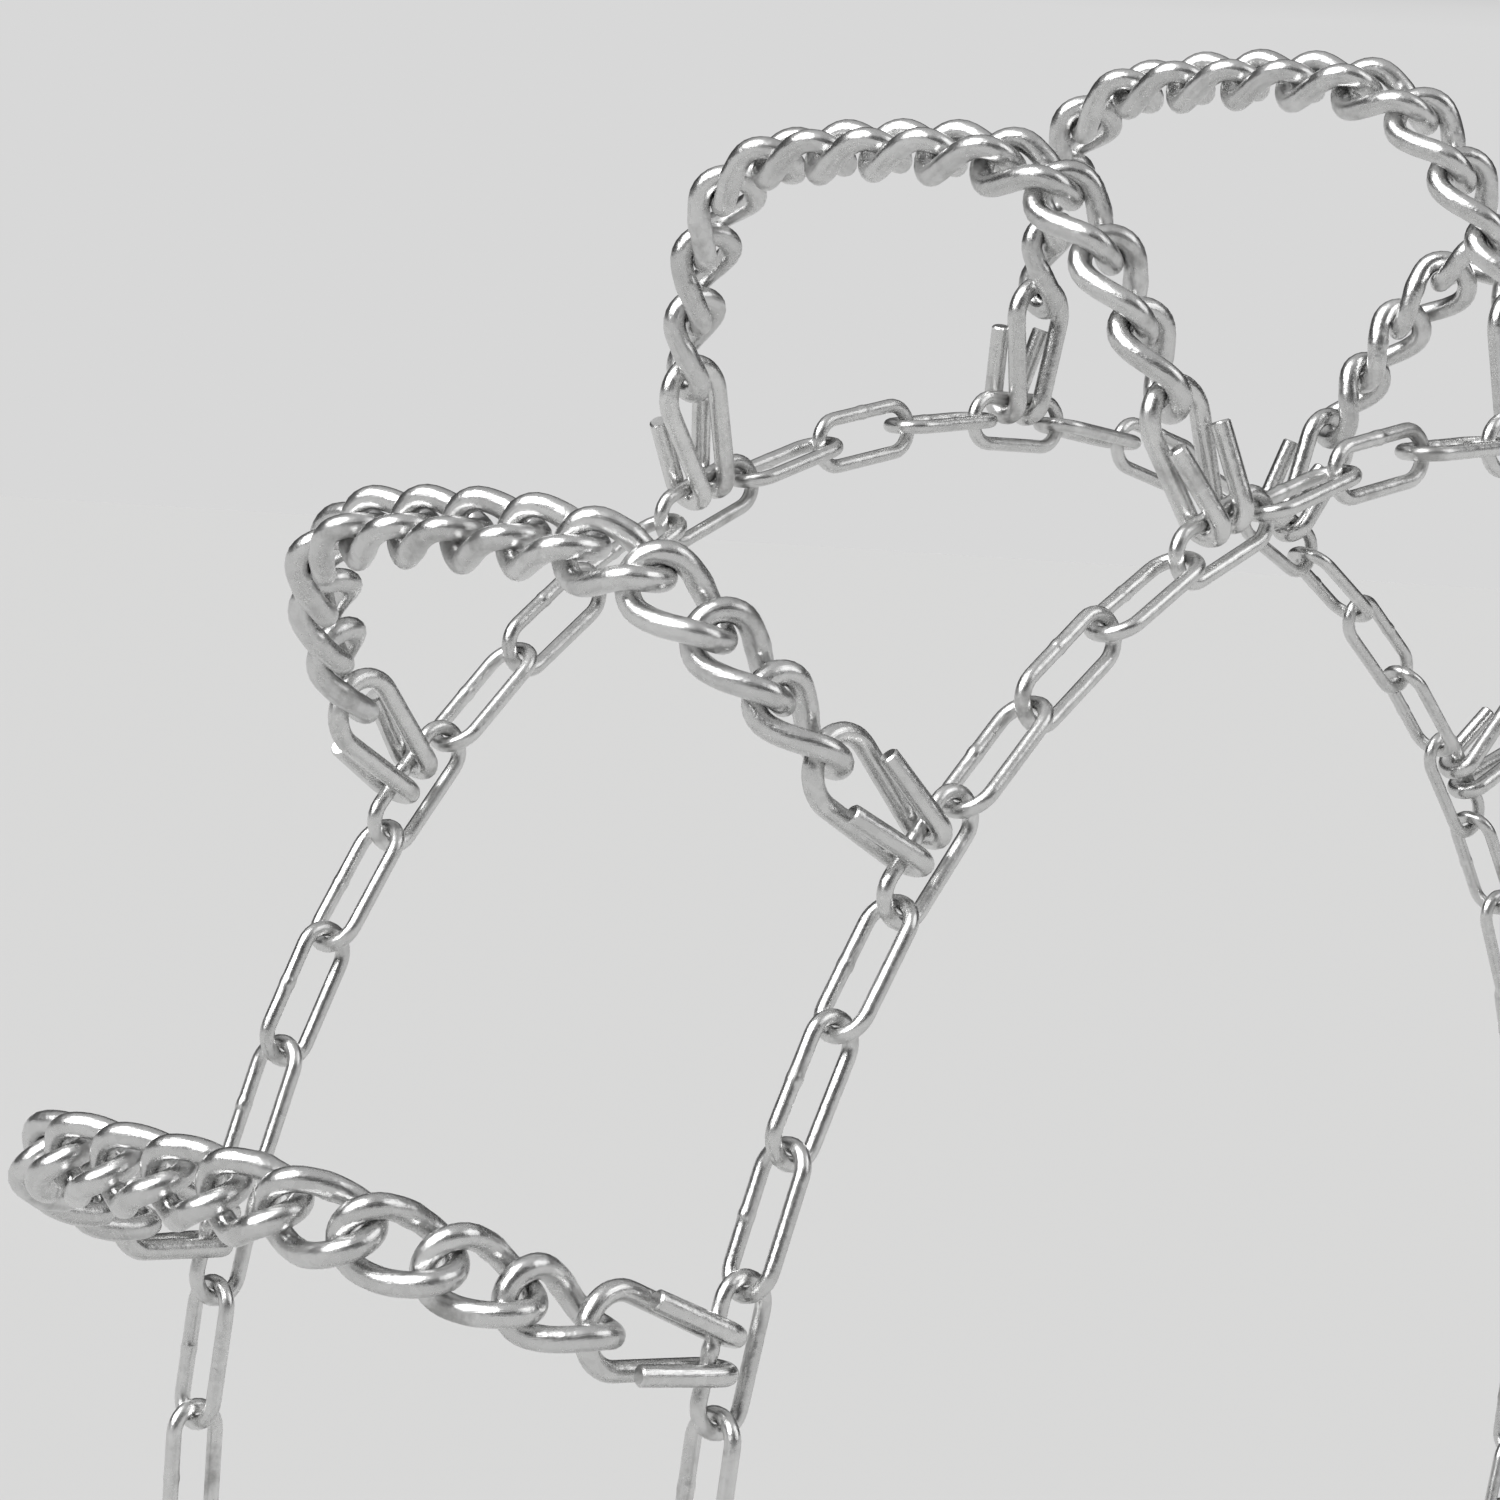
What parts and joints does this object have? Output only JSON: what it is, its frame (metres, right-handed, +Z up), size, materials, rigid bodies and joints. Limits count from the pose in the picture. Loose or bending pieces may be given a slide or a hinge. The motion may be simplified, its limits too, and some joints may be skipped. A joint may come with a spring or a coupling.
{
  "type": "tire snow chain",
  "caption": "Ladder-type snow chain for a heavy truck tyre: two side chains joined by twisted-link cross chains on wire hooks, with a lever fastener and a closing hook.",
  "frame": {"origin": "the middle of the wheel: on the axle line, half way between the outer and the inner side chain", "axes": "+Y along the axle towards the inner side of the wheel (the outer side, with the lever, is at -Y); +Z up through the middle of the first cross chain; +X along the tread there"},
  "size_m": [1.0706, 0.3344, 1.0933],
  "materials": {
    "side_chain_steel": "bright galvanised wire, a little worn",
    "cross_chain_steel": "bright galvanised case-hardened wire",
    "hook_steel": "bright galvanised bent wire",
    "fastener_steel": "galvanised flat bar and plate"
  },
  "bodies": {
    "section_00": {"outer_side_links_00": "side_chain_steel", "inner_side_links_00": "side_chain_steel", "cross_hooks_00": "hook_steel"},
    "cross_chain_00": {"cross_chain_00": "cross_chain_steel"},
    "section_01": {"outer_side_links_01": "side_chain_steel", "inner_side_links_01": "side_chain_steel", "cross_hooks_01": "hook_steel"},
    "cross_chain_01": {"cross_chain_01": "cross_chain_steel"},
    "section_02": {"outer_side_links_02": "side_chain_steel", "inner_side_links_02": "side_chain_steel", "cross_hooks_02": "hook_steel"},
    "cross_chain_02": {"cross_chain_02": "cross_chain_steel"},
    "section_03": {"outer_side_links_03": "side_chain_steel", "inner_side_links_03": "side_chain_steel", "cross_hooks_03": "hook_steel"},
    "cross_chain_03": {"cross_chain_03": "cross_chain_steel"},
    "section_04": {"outer_side_links_04": "side_chain_steel", "inner_side_links_04": "side_chain_steel", "cross_hooks_04": "hook_steel"},
    "cross_chain_04": {"cross_chain_04": "cross_chain_steel"},
    "section_05": {"outer_side_links_05": "side_chain_steel", "inner_side_links_05": "side_chain_steel", "cross_hooks_05": "hook_steel"},
    "cross_chain_05": {"cross_chain_05": "cross_chain_steel"},
    "section_06": {"outer_side_links_06": "side_chain_steel", "inner_side_links_06": "side_chain_steel", "cross_hooks_06": "hook_steel"},
    "cross_chain_06": {"cross_chain_06": "cross_chain_steel"},
    "section_07": {"outer_side_links_07": "side_chain_steel", "inner_side_links_07": "side_chain_steel", "cross_hooks_07": "hook_steel", "fastener_plates": "fastener_steel", "fastener_rivets": "fastener_steel"},
    "cross_chain_07": {"cross_chain_07": "cross_chain_steel"},
    "section_08": {"outer_side_links_08": "side_chain_steel", "inner_side_links_08": "side_chain_steel", "cross_hooks_08": "hook_steel"},
    "cross_chain_08": {"cross_chain_08": "cross_chain_steel"},
    "section_09": {"outer_side_links_09": "side_chain_steel", "inner_side_links_09": "side_chain_steel", "cross_hooks_09": "hook_steel"},
    "cross_chain_09": {"cross_chain_09": "cross_chain_steel"},
    "section_10": {"outer_side_links_10": "side_chain_steel", "inner_side_links_10": "side_chain_steel", "cross_hooks_10": "hook_steel"},
    "cross_chain_10": {"cross_chain_10": "cross_chain_steel"},
    "section_11": {"outer_side_links_11": "side_chain_steel", "inner_side_links_11": "side_chain_steel", "cross_hooks_11": "hook_steel"},
    "cross_chain_11": {"cross_chain_11": "cross_chain_steel"},
    "section_12": {"outer_side_links_12": "side_chain_steel", "inner_side_links_12": "side_chain_steel", "cross_hooks_12": "hook_steel"},
    "cross_chain_12": {"cross_chain_12": "cross_chain_steel"},
    "section_13": {"outer_side_links_13": "side_chain_steel", "inner_side_links_13": "side_chain_steel", "cross_hooks_13": "hook_steel"},
    "cross_chain_13": {"cross_chain_13": "cross_chain_steel"},
    "lever": {"fastener_lever": "fastener_steel"}
  },
  "joints": [
    {"name": "side_hinge_01", "type": "hinge", "parent": "section_00", "child": "section_01", "pos_m": [0.15529, 0, 0.36708], "axis": [0, -1, 0], "range_deg": [0, 25.71]},
    {"name": "side_hinge_02", "type": "hinge", "parent": "section_01", "child": "section_02", "pos_m": [0.29918, 0, 0.26335], "axis": [0, -1, 0], "range_deg": [0, 25.71]},
    {"name": "side_hinge_03", "type": "hinge", "parent": "section_02", "child": "section_03", "pos_m": [0.38382, 0, 0.10746], "axis": [0, -1, 0], "range_deg": [0, 25.71]},
    {"name": "side_hinge_04", "type": "hinge", "parent": "section_03", "child": "section_04", "pos_m": [0.39243, 0, -0.06971], "axis": [0, -1, 0], "range_deg": [0, 25.71]},
    {"name": "side_hinge_05", "type": "hinge", "parent": "section_04", "child": "section_05", "pos_m": [0.32332, 0, -0.23308], "axis": [0, -1, 0], "range_deg": [0, 25.71]},
    {"name": "side_hinge_06", "type": "hinge", "parent": "section_05", "child": "section_06", "pos_m": [0.19017, 0, -0.35028], "axis": [0, -1, 0], "range_deg": [0, 25.71]},
    {"name": "side_hinge_07", "type": "hinge", "parent": "section_06", "child": "section_07", "pos_m": [0.01936, 0, -0.3981], "axis": [0, -1, 0], "range_deg": [0, 25.71]},
    {"name": "side_hinge_13", "type": "hinge", "parent": "section_00", "child": "section_13", "pos_m": [-0.01936, 0, 0.3981], "axis": [0, 1, 0], "range_deg": [0, 25.71]},
    {"name": "side_hinge_12", "type": "hinge", "parent": "section_13", "child": "section_12", "pos_m": [-0.19017, 0, 0.35028], "axis": [0, 1, 0], "range_deg": [0, 25.71]},
    {"name": "side_hinge_11", "type": "hinge", "parent": "section_12", "child": "section_11", "pos_m": [-0.32332, 0, 0.23308], "axis": [0, 1, 0], "range_deg": [0, 25.71]},
    {"name": "side_hinge_10", "type": "hinge", "parent": "section_11", "child": "section_10", "pos_m": [-0.39243, 0, 0.06971], "axis": [0, 1, 0], "range_deg": [0, 25.71]},
    {"name": "side_hinge_09", "type": "hinge", "parent": "section_10", "child": "section_09", "pos_m": [-0.38382, 0, -0.10746], "axis": [0, 1, 0], "range_deg": [0, 25.71]},
    {"name": "side_hinge_08", "type": "hinge", "parent": "section_09", "child": "section_08", "pos_m": [-0.29918, 0, -0.26335], "axis": [0, 1, 0], "range_deg": [0, 25.71]},
    {"name": "cross_chain_swing_00", "type": "hinge", "parent": "section_00", "child": "cross_chain_00", "pos_m": [0, 0, 0.4498], "axis": [0, 1, 0], "range_deg": [-0.8, 33.2]},
    {"name": "cross_chain_swing_01", "type": "hinge", "parent": "section_01", "child": "cross_chain_01", "pos_m": [0.19516, 0, 0.40525], "axis": [0, 1, 0], "range_deg": [-11, 23]},
    {"name": "cross_chain_swing_02", "type": "hinge", "parent": "section_02", "child": "cross_chain_02", "pos_m": [0.35166, 0, 0.28044], "axis": [0, 1, 0], "range_deg": [-22, 12]},
    {"name": "cross_chain_swing_03", "type": "hinge", "parent": "section_03", "child": "cross_chain_03", "pos_m": [0.43852, 0, 0.10009], "axis": [0, 1, 0], "range_deg": [-13, 21]},
    {"name": "cross_chain_swing_04", "type": "hinge", "parent": "section_04", "child": "cross_chain_04", "pos_m": [0.43852, 0, -0.10009], "axis": [0, 1, 0], "range_deg": [-24, 10]},
    {"name": "cross_chain_swing_05", "type": "hinge", "parent": "section_05", "child": "cross_chain_05", "pos_m": [0.35166, 0, -0.28044], "axis": [0, 1, 0], "range_deg": [-14, 20]},
    {"name": "cross_chain_swing_06", "type": "hinge", "parent": "section_06", "child": "cross_chain_06", "pos_m": [0.19516, 0, -0.40525], "axis": [0, 1, 0], "range_deg": [-21, 13]},
    {"name": "cross_chain_swing_07", "type": "hinge", "parent": "section_07", "child": "cross_chain_07", "pos_m": [0, 0, -0.4498], "axis": [0, 1, 0], "range_deg": [-17, 17]},
    {"name": "cross_chain_swing_08", "type": "hinge", "parent": "section_08", "child": "cross_chain_08", "pos_m": [-0.19516, 0, -0.40525], "axis": [0, 1, 0], "range_deg": [-12, 22]},
    {"name": "cross_chain_swing_09", "type": "hinge", "parent": "section_09", "child": "cross_chain_09", "pos_m": [-0.35166, 0, -0.28044], "axis": [0, 1, 0], "range_deg": [-23, 11]},
    {"name": "cross_chain_swing_10", "type": "hinge", "parent": "section_10", "child": "cross_chain_10", "pos_m": [-0.43852, 0, -0.10009], "axis": [0, 1, 0], "range_deg": [-20, 14]},
    {"name": "cross_chain_swing_11", "type": "hinge", "parent": "section_11", "child": "cross_chain_11", "pos_m": [-0.43852, 0, 0.10009], "axis": [0, 1, 0], "range_deg": [-26.8, 7.2]},
    {"name": "cross_chain_swing_12", "type": "hinge", "parent": "section_12", "child": "cross_chain_12", "pos_m": [-0.35166, 0, 0.28044], "axis": [0, 1, 0], "range_deg": [-27, 7]},
    {"name": "cross_chain_swing_13", "type": "hinge", "parent": "section_13", "child": "cross_chain_13", "pos_m": [-0.19516, 0, 0.40525], "axis": [0, 1, 0], "range_deg": [-26, 8]},
    {"name": "lever_swing", "type": "hinge", "parent": "section_07", "child": "lever", "pos_m": [-0.08389, -0.13013, -0.3873], "axis": [-0.2768, 0, -0.9609], "range_deg": [0, 90]}
  ]
}
